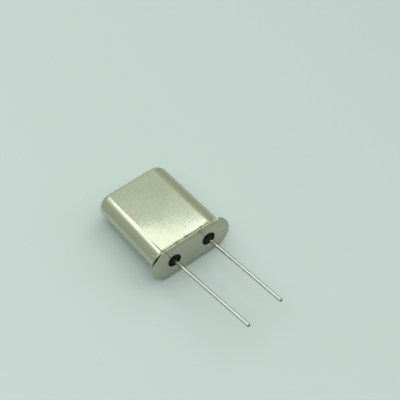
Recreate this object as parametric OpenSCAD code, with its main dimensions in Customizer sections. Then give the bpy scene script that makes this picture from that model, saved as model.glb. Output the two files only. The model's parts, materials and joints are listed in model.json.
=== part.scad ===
// Two-lead quartz crystal unit in a resistance-welded metal can.
// Each piece is drawn upright, with the seating face of the base at z = 0, the can
// above it and the leads below. The finished unit then lies on one wide side, as it
// rests when it is put down: can towards +Y, leads towards -Y, +Z up. The origin is
// the middle of the seating face.

/* [Can] */
// Width of the can across its round sides
can_w = 9.8; // [9.2:0.05:10.2]
// Thickness of the can across its flat sides
can_t = 3.6; // [3.3:0.05:3.9]
// Height from the seating face to the closed end
overall_h = 13; // [12.4:0.1:16]
// Wall of the drawn can
can_wall = 0.22; // [0.15:0.01:0.3]
// Outside radius round the closed end
crown_r = 1; // [0.5:0.05:1.4]

/* [Weld flanges] */
// Length of both flanges
flange_l = 11; // [10.8:0.05:11.8]
// Width of both flanges
flange_w = 4.55; // [4.4:0.05:5]
// Thickness of the flange on the can
can_flange_t = 0.2; // [0.16:0.01:0.3]
// Thickness of the flange on the base
base_flange_t = 0.3; // [0.27:0.01:0.5]
// Radius where the wall of the can turns out into its flange
bend_r = 0.15; // [0.05:0.01:0.2]
// Rounding of the can's flange at the weld seam
seam_r = 0.07; // [0.02:0.01:0.08]
// Rounding of the base's flange at the weld seam
base_seam_r = 0.16; // [0.05:0.01:0.2]
// Rounding of the can's flange on the side away from the seam
upper_r = 0.12; // [0.03:0.01:0.14]
// Rounding round the seating face
rim_r = 0.1; // [0.05:0.01:0.14]
// Width of the margin that falls back round the flat of the seating face
margin_w = 0.42; // [0.25:0.01:0.5]
// Slope of that margin in degrees
margin_slope = 5; // [1:0.5:8]

/* [Base] */
// Height of the island that stands up inside the can
island_h = 0.7; // [0.3:0.05:1]
// Gap between the island and the can
island_gap = 0.05; // [0.02:0.01:0.1]
// Rounding of the island's upper edge
island_r = 0.12; // [0.05:0.01:0.25]
// Distance between the leads where they leave the base
lead_pitch = 4.88; // [4.6:0.01:5.1]
// Diameter of the holes for the glass
eyelet_d = 1.76; // [1.4:0.02:2]
// Rounding of the holes at the seating face
eyelet_r = 0.05; // [0.02:0.01:0.08]

/* [Glass] */
// How far the rim of the glass lies inside the seating face
glass_recess = 0.09; // [0.08:0.01:0.2]
// How much further the glass dips between the hole and the lead
glass_dip = 0.07; // [0.02:0.01:0.12]

/* [Leads] */
// Diameter of the wire
lead_d = 0.43; // [0.35:0.01:0.6]
// Length of the left lead from the seating face to its cut end
left_lead_l = 12.9; // [6:0.1:30]
// Length of the right lead from the seating face to its cut end
right_lead_l = 12.6; // [6:0.1:30]
// Sideways lean of the left lead in degrees
left_lean = 3.3; // [0.5:0.1:8]
// Sideways lean of the right lead in degrees
right_lean = 2.5; // [0.5:0.1:8]
// Lift of both leads away from the surface the unit lies on, in degrees
lead_lift = 1.8; // [0:0.1:6]
// Straight wire between the seating face and the bend
exit_l = 0.1; // [0.05:0.01:0.5]
// Radius of the slight bend, to the middle of the wire
elbow_r = 1.5; // [1:0.1:3]
// Chamfer left at the cut ends
cut_chamfer = 0.05; // [0.02:0.01:0.1]
// Height of the post inside, from the island to the nail head
post_h = 0.9; // [0.4:0.05:1.5]
// Diameter of the nail head
head_d = 0.9; // [0.7:0.05:1.2]
// Thickness of the nail head
head_t = 0.2; // [0.1:0.01:0.3]

/* [Spring clips] */
// Width of the strip
clip_w = 1.4; // [1:0.05:2]
// Thickness of the strip
clip_t = 0.12; // [0.08:0.01:0.16]
// Inner radius of the bend from the foot to the upright
clip_bend_r = 0.2; // [0.1:0.01:0.4]
// How far the edge of the disc passes the inner face of the upright
clip_bite = 0.2; // [0.18:0.01:0.3]
// Free space between a coated face of the disc and the slot's side
slot_gap = 0.03; // [0.01:0.01:0.08]
// Free space below the disc at the bottom of the slot
slot_end_gap = 0.1; // [0.05:0.01:0.3]
// Height of the two prongs above the middle of the disc
prong_h = 1.5; // [1:0.05:2.5]

/* [Resonator] */
// Diameter of the quartz disc
blank_d = 8; // [7.6:0.05:8.1]
// Thickness of the quartz disc
blank_t = 0.2; // [0.1:0.01:0.35]
// Distance from the foot of the clips up to the disc
blank_lift = 0.8; // [0.5:0.05:1]
// Diameter of the electrodes
electrode_d = 4.5; // [3:0.1:5.5]
// Thickness of the electrodes
electrode_t = 0.02; // [0.01:0.005:0.03]
// Width of the tab from an electrode to the disc's edge
tab_w = 1.2; // [0.6:0.05:1.6]
// Bare quartz left between the tab and the disc's edge
tab_margin = 0.08; // [0.02:0.01:0.2]
// Diameter of a dab of adhesive
bond_d = 1; // [0.8:0.05:1.2]
// Thickness of a dab beyond each face of the disc
bond_t = 0.25; // [0.15:0.01:0.4]
// Chamfer round a dab
bond_chamfer = 0.1; // [0.02:0.01:0.12]

/* [Hidden] */
$fn = 64;
// Overlap of cutting shapes past the faces they cut
cut = 0.5;
can_straight = can_w - can_t;
flange_straight = flange_l - flange_w;
can_half = can_t / 2;
cavity_half = can_half - can_wall;
flange_half = flange_w / 2;
flange_top = base_flange_t + can_flange_t;
mouth_r = bend_r + can_flange_t;
// The rounds of a flange share its thickness, so the later one is limited by it.
upper_edge_r = min(upper_r, can_flange_t - seam_r);
rim_x = flange_half - rim_r;
rim_z = (margin_w - rim_r * (1 - sin(margin_slope))) * tan(margin_slope) + rim_r * cos(margin_slope);
base_edge_r = min(base_seam_r, base_flange_t - rim_z);
island_half = cavity_half - island_gap;
island_top = base_flange_t + island_h;
lead_x = lead_pitch / 2;
lead_r = lead_d / 2;
eyelet_half = eyelet_d / 2;
head_top = island_top + post_h + head_t;
foot_top = head_top + clip_t;
blank_z = foot_top + blank_lift + blank_d / 2;
clip_in = blank_d / 2 - clip_bite;
clip_out = clip_in + clip_t;
slot_w = blank_t + 2 * (electrode_t + slot_gap);
slot_z = blank_z - sqrt(pow(blank_d / 2, 2) - pow(clip_in, 2)) - slot_end_gap;
bond_h = blank_t + 2 * bond_t;
// The unit rests on the flange's edge and on the edge of the closed end. Both edges
// are round, so the floor is the line that touches the two circles from below.
rest_run = (overall_h - crown_r) - (flange_top - upper_edge_r);
rest_drop = (flange_half - upper_edge_r) - (can_half - crown_r);
rest_reach = norm([rest_run, rest_drop]);
rest_tilt = acos((crown_r - upper_edge_r) / rest_reach) - atan2(rest_run, rest_drop);

// Lays an upright piece on its wide side, as the whole unit rests.
module lie_down() {
    rotate([-90 - rest_tilt, 0, 0]) children();
}

// Carries a half profile round a closed track of two straights and two half circles.
// In the profile x is the distance from the track's middle line and y the height.
module carry_round(straight) {
    for (turn = [0, 180]) rotate([0, 0, turn]) {
        translate([straight / 2, 0, 0]) rotate([0, 0, -90])
            rotate_extrude(angle = 180) children();
        translate([-straight / 2, 0, 0]) rotate([90, 0, 90])
            linear_extrude(straight) children();
    }
}

// Fillet in the corner between a wall at x = 0 and a flange at y = 0. Turned round,
// it is also what a round of the same radius takes off an outer corner.
module fillet_profile(r) {
    difference() {
        square(r);
        translate([r, r]) circle(r);
    }
}

// Half profile of a block between two heights, with a rounded upper edge.
module block_profile(half, low, high, r) {
    difference() {
        translate([0, low]) square([half, high - low]);
        translate([half, high]) rotate(180) fillet_profile(r);
    }
}

// What is cut off below the base's flange. The margin slopes back from the flat of the
// seating face and runs into the rim's round, which ends upright in the flange's side.
module margin_profile() {
    difference() {
        polygon([
            [flange_half - margin_w, 0], [flange_half - margin_w, -cut],
            [flange_half + cut, -cut], [flange_half + cut, rim_z], [rim_x, rim_z],
            [rim_x + rim_r * sin(margin_slope), rim_z - rim_r * cos(margin_slope)]
        ]);
        translate([rim_x, rim_z]) circle(rim_r);
    }
}

// Drawn can: closed at the top, turned out into the weld flange at its mouth.
module can() {
    color("#b6b8a2") difference() {
        union() {
            carry_round(can_straight) {
                block_profile(can_half, base_flange_t, overall_h, crown_r);
                translate([can_half, flange_top]) fillet_profile(bend_r);
            }
            carry_round(flange_straight) difference() {
                block_profile(flange_half, base_flange_t, flange_top, upper_edge_r);
                translate([flange_half, base_flange_t]) rotate(90) fillet_profile(seam_r);
            }
        }
        carry_round(can_straight) {
            block_profile(cavity_half, -cut, overall_h - can_wall, crown_r - can_wall);
            translate([cavity_half, base_flange_t]) fillet_profile(mouth_r);
        }
    }
}

// Header plate: flange, island and the two holes that the glass fills.
module base() {
    color("#8b8f7f") difference() {
        union() {
            carry_round(flange_straight) difference() {
                block_profile(flange_half, 0, base_flange_t, base_edge_r);
                margin_profile();
            }
            carry_round(can_straight)
                block_profile(island_half, base_flange_t, island_top, island_r);
        }
        for (side = [-1, 1]) translate([side * lead_x, 0, 0]) {
            translate([0, 0, -cut]) cylinder(d = eyelet_d, h = island_top + 2 * cut);
            rotate_extrude() translate([eyelet_half, 0]) fillet_profile(eyelet_r);
        }
    }
}

// Glass seal round one lead. Its outer face dips in a ring between hole and wire.
module glass_bead(side) {
    half_span = (eyelet_half - lead_r) / 2;
    dip_r = (pow(half_span, 2) + pow(glass_dip, 2)) / (2 * glass_dip);
    color("#101114") translate([side * lead_x, 0, 0]) rotate_extrude()
        difference() {
            translate([lead_r, glass_recess])
                square([eyelet_half - lead_r, island_top - glass_recess]);
            translate([lead_r + half_span, glass_recess + glass_dip - dip_r]) circle(dip_r);
        }
}

// Wire lead with its nail head inside the can, drawn down from the seating face and
// bent a little just outside the glass.
module lead(side, length, lean) {
    slope = [tan(lean), tan(lead_lift)];
    bend = atan(norm(slope));
    reach = length - exit_l - elbow_r * bend * PI / 180;
    color("#c5c6b4") translate([side * lead_x, 0, 0]) {
        translate([0, 0, -exit_l]) cylinder(d = lead_d, h = exit_l + island_top + post_h);
        translate([0, 0, head_top - head_t]) cylinder(d = head_d, h = head_t);
        rotate([0, 0, -atan2(slope[1], slope[0])]) translate([elbow_r, 0, -exit_l]) {
            rotate([-90, 0, 180]) rotate_extrude(angle = bend)
                translate([elbow_r, 0]) circle(d = lead_d);
            rotate([0, -bend, 0]) translate([-elbow_r, 0, cut_chamfer - reach]) {
                cylinder(d = lead_d, h = reach - cut_chamfer);
                translate([0, 0, -cut_chamfer])
                    cylinder(r1 = lead_r - cut_chamfer, r2 = lead_r, h = cut_chamfer);
            }
        }
    }
}

// Spring strip: a foot on the nail head, a bend and an upright with an open slot.
module clip(side) {
    bend_mid = clip_out - clip_bend_r - clip_t;
    foot_in = lead_x - head_d / 2;
    color("#9a978a") mirror([side < 0 ? 1 : 0, 0, 0]) difference() {
        translate([0, clip_w / 2, 0]) rotate([90, 0, 0]) linear_extrude(clip_w) {
            translate([foot_in, head_top]) square([bend_mid - foot_in, clip_t]);
            translate([clip_in, foot_top + clip_bend_r])
                square([clip_t, blank_z + prong_h - foot_top - clip_bend_r]);
            translate([bend_mid, foot_top + clip_bend_r]) intersection() {
                difference() {
                    circle(clip_bend_r + clip_t);
                    circle(clip_bend_r);
                }
                translate([0, -clip_bend_r - clip_t]) square(clip_bend_r + clip_t);
            }
        }
        translate([clip_in - cut, -slot_w / 2, slot_z])
            cube([clip_t + 2 * cut, slot_w, blank_z + prong_h + cut - slot_z]);
    }
}

// An upright sheet of the resonator: its outline, carried through from one depth.
module upright_sheet(low, t) {
    translate([0, low + t, blank_z]) rotate([90, 0, 0]) linear_extrude(t) children();
}

// Round quartz disc, upright between the clips and parallel to the can's flat sides.
module quartz_blank() {
    color("#dfe6e6", 0.6) upright_sheet(-blank_t / 2, blank_t) circle(d = blank_d);
}

// Keyhole outline of a metal film: a round middle and a tab towards one clip.
module film_outline(side) {
    circle(d = electrode_d);
    intersection() {
        circle(d = blank_d - 2 * tab_margin);
        translate([side > 0 ? 0 : -blank_d / 2, -tab_w / 2]) square([blank_d / 2, tab_w]);
    }
}

// Metal film on one face of the disc. Front is the face that looks up as the unit lies,
// back the one that looks down.
module electrode(face, side) {
    low = face > 0 ? -blank_t / 2 - electrode_t : blank_t / 2;
    color("#c9c9c4") upright_sheet(low, electrode_t) film_outline(side);
}

// Dab of adhesive that holds the disc's edge in a clip, round both faces. The film that
// reaches this clip leaves its room too, cut from the disc's middle outwards.
module bond(side) {
    r = bond_d / 2;
    rim = r - bond_chamfer;
    coated = blank_t / 2 + electrode_t;
    color("#b9bcc0") difference() {
        translate([side * clip_in, -bond_h / 2, blank_z]) rotate([-90, 0, 0])
            rotate_extrude() polygon([
                [0, 0], [rim, 0], [r, bond_chamfer],
                [r, bond_h - bond_chamfer], [rim, bond_h], [0, bond_h]
            ]);
        clip(side);
        quartz_blank();
        upright_sheet(side > 0 ? -coated : 0, coated) film_outline(side);
    }
}

lie_down() can();
lie_down() base();
lie_down() glass_bead(-1);  // glass_bead_left
lie_down() glass_bead(1);  // glass_bead_right
lie_down() lead(-1, left_lead_l, left_lean);  // lead_left
lie_down() lead(1, right_lead_l, right_lean);  // lead_right
lie_down() clip(-1);  // clip_left
lie_down() clip(1);  // clip_right
lie_down() quartz_blank();
lie_down() electrode(1, 1);  // front_electrode
lie_down() electrode(-1, -1);  // back_electrode
lie_down() bond(-1);  // bond_left
lie_down() bond(1);  // bond_right
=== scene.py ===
"""Looks of a two-lead quartz crystal unit in a resistance-welded metal can.

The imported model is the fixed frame. The four kinds of piece that show (the drawn can, the
header base, the glass seals and the wire leads) are made again here with their round edges
worked out finely. The pieces that the can seals in keep their own solids and get their
finishes. Sizes are in millimetres on the unit's own axes: x along the width, y towards the
closed end and z out of the upper wide side, with the origin in the middle of the seating face.
"""

import sys

import json
import logging
import math
from dataclasses import dataclass
from enum import Enum

import bmesh
import bpy
import numpy as np
from mathutils import Matrix, Vector


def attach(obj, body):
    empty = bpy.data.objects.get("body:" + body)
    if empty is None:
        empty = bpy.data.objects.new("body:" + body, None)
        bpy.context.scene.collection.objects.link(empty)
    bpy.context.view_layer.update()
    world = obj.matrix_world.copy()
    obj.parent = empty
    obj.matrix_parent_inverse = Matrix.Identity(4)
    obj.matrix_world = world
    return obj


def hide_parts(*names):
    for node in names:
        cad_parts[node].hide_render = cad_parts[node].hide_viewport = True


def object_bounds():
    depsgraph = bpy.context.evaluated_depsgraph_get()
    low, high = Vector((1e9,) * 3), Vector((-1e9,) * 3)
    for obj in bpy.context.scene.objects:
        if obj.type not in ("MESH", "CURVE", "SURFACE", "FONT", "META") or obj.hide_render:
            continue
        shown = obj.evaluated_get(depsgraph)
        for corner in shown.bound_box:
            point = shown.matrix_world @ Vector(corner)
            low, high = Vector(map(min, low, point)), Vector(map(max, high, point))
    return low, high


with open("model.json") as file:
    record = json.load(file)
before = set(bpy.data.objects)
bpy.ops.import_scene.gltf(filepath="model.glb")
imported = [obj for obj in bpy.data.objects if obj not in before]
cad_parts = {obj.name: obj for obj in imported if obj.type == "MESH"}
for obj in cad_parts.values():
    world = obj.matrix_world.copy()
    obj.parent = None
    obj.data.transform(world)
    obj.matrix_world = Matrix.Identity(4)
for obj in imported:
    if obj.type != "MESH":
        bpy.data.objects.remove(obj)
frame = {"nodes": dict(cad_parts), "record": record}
cad_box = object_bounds()

LOG = logging.getLogger("crystal_unit")
MM = 0.001
BODY = "root"

# Steps in a quarter of a small round edge, and the gap of the rows that hold a flat flat.
EDGE_STEPS = 10
HOLD_GAP = 0.02
# Points closer than this, in mm, are one point.
WELD = 1e-5
# Inputs and output of a colour Mix node, by number.
MIX_A, MIX_B, MIX_RESULT = 6, 7, 2
# Nearly all values of a soft random pattern lie between these two.
PATTERN_LOW, PATTERN_HIGH = 0.3, 0.7

Tree = bpy.types.NodeTree
Socket = bpy.types.NodeSocket
Triple = tuple[float, float, float]


class Side(Enum):
    """The two ends of the unit's width, by the sign of x."""

    LEFT = -1
    RIGHT = 1


# ---------------------------------------------------------------- helpers


def linear(code: str) -> tuple[float, float, float, float]:
    """Turns an sRGB colour into a linear one.

    Args:
        code: Six hexadecimal digits after a hash.

    Returns:
        Red, green, blue and an alpha of 1.
    """
    shares = np.array([int(code[i:i + 2], 16) for i in (1, 3, 5)]) / 255
    values = np.where(shares <= 0.04045, shares / 12.92, ((shares + 0.055) / 1.055) ** 2.4)
    return (*values.tolist(), 1.0)


def feed(tree: Tree, node: bpy.types.Node, inputs: dict) -> None:
    """Fills a node's inputs.

    Args:
        tree: Tree of the node.
        node: The node.
        inputs: For each input, by name or number, a value or the socket that feeds it.
    """
    for name, value in inputs.items():
        if isinstance(value, Socket):
            tree.links.new(value, node.inputs[name])
        else:
            node.inputs[name].default_value = value


def add_node(tree: Tree, kind: str, inputs: dict | None = None,
             **settings) -> bpy.types.Node:
    """Adds a node, sets its settings and fills its inputs.

    Args:
        tree: Tree of a material or of the world.
        kind: Type of the node.
        inputs: What fills its inputs.
        settings: Value of each property of the node.

    Returns:
        The new node.
    """
    node = tree.nodes.new(kind)
    for name, value in settings.items():
        setattr(node, name, value)
    feed(tree, node, inputs or {})
    return node


def put_in_scene(name: str, data: bpy.types.ID) -> bpy.types.Object:
    """Makes an object and puts it in the scene.

    Args:
        name: Its name.
        data: Its mesh, lamp or camera.

    Returns:
        The object.
    """
    thing = bpy.data.objects.new(name, data)
    bpy.context.scene.collection.objects.link(thing)
    return thing


def mount(name: str) -> dict:
    """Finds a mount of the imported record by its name."""
    return next(m for m in frame["record"]["mounts"] if m["name"] == name)


@dataclass(frozen=True)
class Lay:
    """How the unit lies: turned about the x axis until a wide side rests."""

    tilt: float

    @classmethod
    def from_frame(cls) -> "Lay":
        """Reads the tilt from the way that the seating face looks."""
        axis = mount("seating_face")["axis"]
        return cls(tilt=math.atan2(axis[2], -axis[1]))

    def matrix(self) -> Matrix:
        """Gives the change from the unit's own millimetres to the frame in metres."""
        return Matrix.Rotation(-self.tilt, 4, "X") @ Matrix.Scale(MM, 4)

    def own_points(self, node: str) -> np.ndarray:
        """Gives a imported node's points on the unit's own axes.

        Args:
            node: Name of the node.

        Returns:
            One row a point, in millimetres.
        """
        mesh = frame["nodes"][node].data
        flat = np.empty(3 * len(mesh.vertices), np.float32)
        mesh.vertices.foreach_get("co", flat)
        turn = np.array(self.matrix().to_3x3().inverted())
        return flat.reshape(-1, 3).astype(float) @ turn.T

    def own_direction(self, direction: list[float]) -> np.ndarray:
        """Turns a direction of the frame onto the unit's own axes."""
        return np.array(Matrix.Rotation(self.tilt, 3, "X") @ Vector(direction))


# ---------------------------------------------------------------- surfaces


def row(distance: float, height: float, straight: float, shade_share: float = 0.0) -> np.ndarray:
    """One corner of a profile: distance from the track, height, the track's straight, and its
    share of painted shade.
    """
    return np.array([[distance, height, straight, shade_share]])


def arc(distance: float, height: float, radius: float, start: float, end: float,
        straight: float, steps: int = EDGE_STEPS, shade_share: float = 0.0) -> np.ndarray:
    """Round stretch of a profile.

    Each point is the centre plus the radius times (cosine, sine) of an angle that runs
    evenly from start to end.

    Args:
        distance: Distance of the arc's centre from the track.
        height: Height of the arc's centre.
        radius: Radius of the arc.
        start: First angle in degrees.
        end: Last angle in degrees.
        straight: Length of the track's straights here.
        steps: Number of steps.
        shade_share: How much painted shade the plating gets here, from 0 to 1.

    Returns:
        Rows of distance, height, straight and share of painted shade.
    """
    turn = np.radians(np.linspace(start, end, steps + 1))
    return np.column_stack([distance + radius * np.cos(turn), height + radius * np.sin(turn),
                            np.full(steps + 1, straight), np.full(steps + 1, shade_share)])


def held(rows: np.ndarray, gap: float = HOLD_GAP) -> np.ndarray:
    """Adds a row a small gap inside both ends of each long stretch of a profile.

    A new row is an end of the stretch moved along it by the gap, so that smooth shading
    bends only at the round edge and leaves the flat beside it flat. A stretch is long when
    it is over four gaps.

    Args:
        rows: Rows of the profile.
        gap: The small gap.

    Returns:
        The rows with the new ones in their order.
    """
    step = np.diff(rows, axis=0)
    length = np.linalg.norm(step[:, :2], axis=1)
    share = np.where(length > 4 * gap, gap / np.maximum(length, gap), 0)[:, None]
    after, before = rows[:-1] + step * share, rows[1:] - step * share
    mixed = np.stack([rows[:-1], after, before], axis=1).reshape(-1, rows.shape[1])
    kept = np.ones(len(mixed), bool)
    kept.reshape(-1, 3)[share[:, 0] == 0, 1:] = False
    return np.vstack([mixed[kept], rows[-1:]])


def turned(rows: np.ndarray, angle: np.ndarray, x: float | np.ndarray) -> np.ndarray:
    """Turns a profile about an axis along y.

    A point's x is the axis's x plus the distance times the angle's cosine, its y is the
    height and its z is the distance times the angle's sine.

    Args:
        rows: Rows of the profile, which start with distance and height.
        angle: Angle of each column.
        x: Where the axis stands, for all points or for each of them.

    Returns:
        A grid of points: a row for each row of the profile, a column for each angle.
    """
    distance, height = rows[:, :1], rows[:, 1:2]
    across = x + distance * np.cos(angle)
    return np.stack([across, np.broadcast_to(height, across.shape),
                     distance * np.sin(angle)], axis=-1)


@dataclass(frozen=True)
class OvalTrack:
    """Closed track of two straights and two half circles, walked against the clock.

    A station is a shift from -1 to 1 along the straights and an angle, which is -90 degrees
    on the lower side and 90 on the upper one. A station stands a small share, the hold,
    before each end of a straight, and keeps the flat beside the round flat. The plating gets
    painted shade round the shaded side, up to the reach in degrees to either hand.
    """

    round_steps: int = 72
    straight_steps: int = 20
    hold: float = 0.008
    # Painted shade lies on the plate round this side, in degrees, and reaches this far to either
    # hand.
    shaded_side: float = 90.0
    shade_reach: float = 26.0

    def stations(self) -> tuple[np.ndarray, np.ndarray]:
        """Works out the stations, from the middle of the lower side.

        Returns:
            The shift of each station, and its angle in radians.
        """
        half = np.concatenate([np.linspace(0, 1, self.straight_steps // 2 + 1)[:-1],
                               [1 - self.hold]])
        swing = np.linspace(-np.pi / 2, np.pi / 2, self.round_steps + 1)
        shift = np.concatenate([half, np.ones(len(swing)), half[:0:-1]])
        angle = np.concatenate([np.full(len(half), -np.pi / 2), swing,
                                np.full(len(half) - 1, np.pi / 2)])
        return np.concatenate([shift, -shift]), np.concatenate([angle, angle + np.pi])

    def carry(self, rows: np.ndarray) -> np.ndarray:
        """Carries a profile round: it is turned about the shift times half of the straight."""
        shift, angle = self.stations()
        return turned(rows, angle, shift * rows[:, 2:3] / 2)

    def shade_marks(self, rows: np.ndarray) -> np.ndarray:
        """Works out how much painted shade each point of a carried profile gets.

        The share is the row's, times a share that falls as a half wave of a cosine from 1 on
        the shaded side to 0 at the reach.

        Args:
            rows: Rows of distance, height, straight and share of painted shade.

        Returns:
            The share of painted shade and two zeros for each point.
        """
        away = np.abs(np.degrees(self.stations()[1]) - self.shaded_side) / self.shade_reach
        shade_share = rows[:, 3:4] * (1 + np.cos(np.pi * np.minimum(away, 1))) / 2
        return np.stack([shade_share, np.zeros_like(shade_share), np.zeros_like(shade_share)], axis=-1)

    def right_half(self, ring: np.ndarray) -> np.ndarray:
        """Gives the half of a ring with x from 0 up, from the lower to the upper side."""
        # The walk starts on the lower side at x = 0, and its second half on the upper side.
        return ring[:len(ring) // 2 + 1]


class Skin:
    """Gathers the patches of one closed surface and makes a mesh of them."""

    def __init__(self) -> None:
        """Starts with no patch."""
        self.points: list[np.ndarray] = []
        self.quads: list[np.ndarray] = []
        self.marks: list[np.ndarray] = []
        self.count = 0

    def add(self, grid: np.ndarray, wrap: bool = False, marks: np.ndarray | None = None) -> None:
        """Adds a patch.

        Args:
            grid: Points as (rows, columns, 3), in millimetres.
            wrap: Whether the last column joins the first.
            marks: Three values for each point, for the finish to read.
        """
        rows, columns = grid.shape[:2]
        index = self.count + np.arange(rows * columns).reshape(rows, columns)
        if wrap:
            index = np.hstack([index, index[:, :1]])
        corners = (index[:-1, :-1], index[1:, :-1], index[1:, 1:], index[:-1, 1:])
        self.points.append(grid.reshape(-1, 3))
        self.quads.append(np.stack(corners, axis=-1).reshape(-1, 4))
        self.marks.append(np.zeros((rows * columns, 3)) if marks is None
                          else marks.reshape(-1, 3))
        self.count += rows * columns

    def finish(self, name: str, lay: Lay, mark: str | None = None) -> bpy.types.Object:
        """Makes the piece: welds its points, turns its faces outwards and lays it down.

        Args:
            name: Name of the piece.
            lay: How the unit lies.
            mark: Name of the attribute that holds the marks, if the finish reads them.

        Returns:
            The piece, at the origin, with its place in its mesh.
        """
        mesh = bpy.data.meshes.new(name)
        mesh.from_pydata(np.vstack(self.points).tolist(), [], np.vstack(self.quads).tolist())
        if mark:
            layer = mesh.attributes.new(mark, "FLOAT_VECTOR", "POINT")
            layer.data.foreach_set("vector", np.vstack(self.marks).astype(np.float32).ravel())
        shell = bmesh.new()
        shell.from_mesh(mesh)
        bmesh.ops.remove_doubles(shell, verts=shell.verts, dist=WELD)
        bmesh.ops.recalc_face_normals(shell, faces=shell.faces)
        volume = shell.calc_volume(signed=True)
        if volume < 0:
            bmesh.ops.reverse_faces(shell, faces=shell.faces)
        gaps = sum(not edge.is_manifold for edge in shell.edges)
        shell.to_mesh(mesh)
        shell.free()
        mesh.transform(lay.matrix())
        mesh.shade_smooth()
        LOG.info("%s: %d faces, %.4f mm3, %d open edges", name, len(mesh.polygons),
                 abs(volume), gaps)
        return put_in_scene(name, mesh)


def settle(piece: bpy.types.Object, material: bpy.types.Material, slot: str,
           *nodes: str) -> bpy.types.Object:
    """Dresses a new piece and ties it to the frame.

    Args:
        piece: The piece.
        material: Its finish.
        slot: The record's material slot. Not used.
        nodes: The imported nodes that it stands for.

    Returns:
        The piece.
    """
    piece.data.materials.append(material)
    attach(piece, BODY)
    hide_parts(*nodes)
    return piece


# ---------------------------------------------------------------- finishes

# The grain of a plated sheet, the pits of a coined face and the die lines of a wire are about
# 0.01 to 0.05 mm wide, which is too fine to show in a render of the whole unit. So the can's
# speckle, streaks and grain, the header's pits and the wire's lines are drawn as coarse as
# they need to show.


@dataclass(frozen=True, kw_only=True)
class Finish:
    """What all finishes share: a name, and the way that a material starts and ends."""

    name: str

    def start(self) -> tuple[bpy.types.Material, Tree]:
        """Makes the material, still empty.

        Returns:
            The material and its tree.
        """
        material = bpy.data.materials.new(self.name)
        material.use_nodes = True
        return material, material.node_tree

    @staticmethod
    def pattern(tree: Tree, place: Socket, size_mm: Triple, detail: float,
                turn: Triple = (0.0, 0.0, 0.0)) -> Socket:
        """Adds a soft random pattern whose marks have a real size.

        Args:
            tree: Tree of the material.
            place: Where the surface's place comes from.
            size_mm: Size of its marks along each of its axes.
            detail: How many finer patterns lie on it.
            turn: How the pattern's axes lie.

        Returns:
            The pattern's value, from 0 to 1.
        """
        spot = add_node(tree, "ShaderNodeMapping", {
            "Vector": place, "Rotation": turn, "Scale": tuple(s * MM for s in size_mm),
        }, vector_type="TEXTURE")
        return add_node(tree, "ShaderNodeTexNoise", {
            "Vector": spot.outputs["Vector"], "Scale": 1.0, "Detail": detail,
        }).outputs["Fac"]

    @staticmethod
    def complete(material: bpy.types.Material, sockets: dict,
                 *layers: tuple[Socket, float]) -> bpy.types.Material:
        """Raises the surface by its relief and fills the shader.

        Args:
            material: The material.
            sockets: For each of the shader's sockets, its value or the socket that feeds it.
            layers: For each layer of the relief, its pattern and its depth in millimetres.
                Each layer lies on the one before it.

        Returns:
            The material.
        """
        tree = material.node_tree
        ground = {}
        for height, depth_mm in layers:
            bump = add_node(tree, "ShaderNodeBump", {
                "Strength": 1.0, "Distance": depth_mm * MM, "Height": height, **ground})
            ground = {"Normal": bump.outputs["Normal"]}
        feed(tree, tree.nodes["Principled BSDF"], {**sockets, **ground})
        return material


@dataclass(frozen=True, kw_only=True)
class MottledFinish(Finish):
    """A finish with a plain tone, a tone for its soft patches, and two limits of roughness."""

    plain: str
    patch: str
    smooth: float
    rough: float

    def mottle(self, tree: Tree, tone_by: Socket, gloss_by: Socket) -> tuple[Socket, Socket]:
        """Lays the tones and the gloss.

        One pattern mixes the patches' tone into the plain one, and one runs the roughness
        from smooth to rough.

        Args:
            tree: Tree of the material.
            tone_by: Pattern of the tones.
            gloss_by: Pattern of the roughness.

        Returns:
            The colour and the roughness.
        """
        tone = add_node(tree, "ShaderNodeMix", {
            "Factor": tone_by, MIX_A: linear(self.plain), MIX_B: linear(self.patch),
        }, data_type="RGBA")
        gloss = add_node(tree, "ShaderNodeMapRange", {
            "Value": gloss_by, "From Min": PATTERN_LOW, "From Max": PATTERN_HIGH,
            "To Min": self.smooth, "To Max": self.rough,
        })
        return tone.outputs[MIX_RESULT], gloss.outputs["Result"]


@dataclass(frozen=True, kw_only=True)
class NickelPlate(MottledFinish):
    """Satin nickel plate, with painted shade laid on in spots where its piece is marked for it.

    The edge tone is what it mirrors at a grazing view. The edge of a spot runs over the spot
    values of a pattern, and between the spots lies a smaller share of the painted shade.
    """

    lay: Lay
    edge: str
    # The colour of the painted shade.
    painted_shade: str
    spot_mm: float = 0.55
    spot_values: tuple[float, float] = (0.42, 0.58)
    between: float = 0.35
    mark: str = "edge_wear"

    def paint_shade(self, tree: Tree, place: Socket, colour: Socket) -> Socket:
        """Lays the painted shade over the plate.

        Its share is the first value of the mark, times the spots.

        Args:
            tree: Tree of the material.
            place: Where the surface's place comes from.
            colour: Colour of the plate.

        Returns:
            The colour with the painted shade in it.
        """
        mark = add_node(tree, "ShaderNodeAttribute", attribute_name=self.mark)
        shade_mark = add_node(tree, "ShaderNodeSeparateXYZ", {0: mark.outputs["Vector"]})
        spots = add_node(tree, "ShaderNodeMapRange", {
            "Value": self.pattern(tree, place, (self.spot_mm,) * 3, detail=2.0),
            "From Min": self.spot_values[0], "From Max": self.spot_values[1],
            "To Min": self.between, "To Max": 1.0,
        })
        shade_share = add_node(tree, "ShaderNodeMath", {
            0: shade_mark.outputs["X"], 1: spots.outputs["Result"]}, operation="MULTIPLY")
        # Mixes in the painted shade.
        return add_node(tree, "ShaderNodeMix", {
            "Factor": shade_share.outputs[0], MIX_A: colour, MIX_B: linear(self.painted_shade),
        }, data_type="RGBA").outputs[MIX_RESULT]


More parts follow.
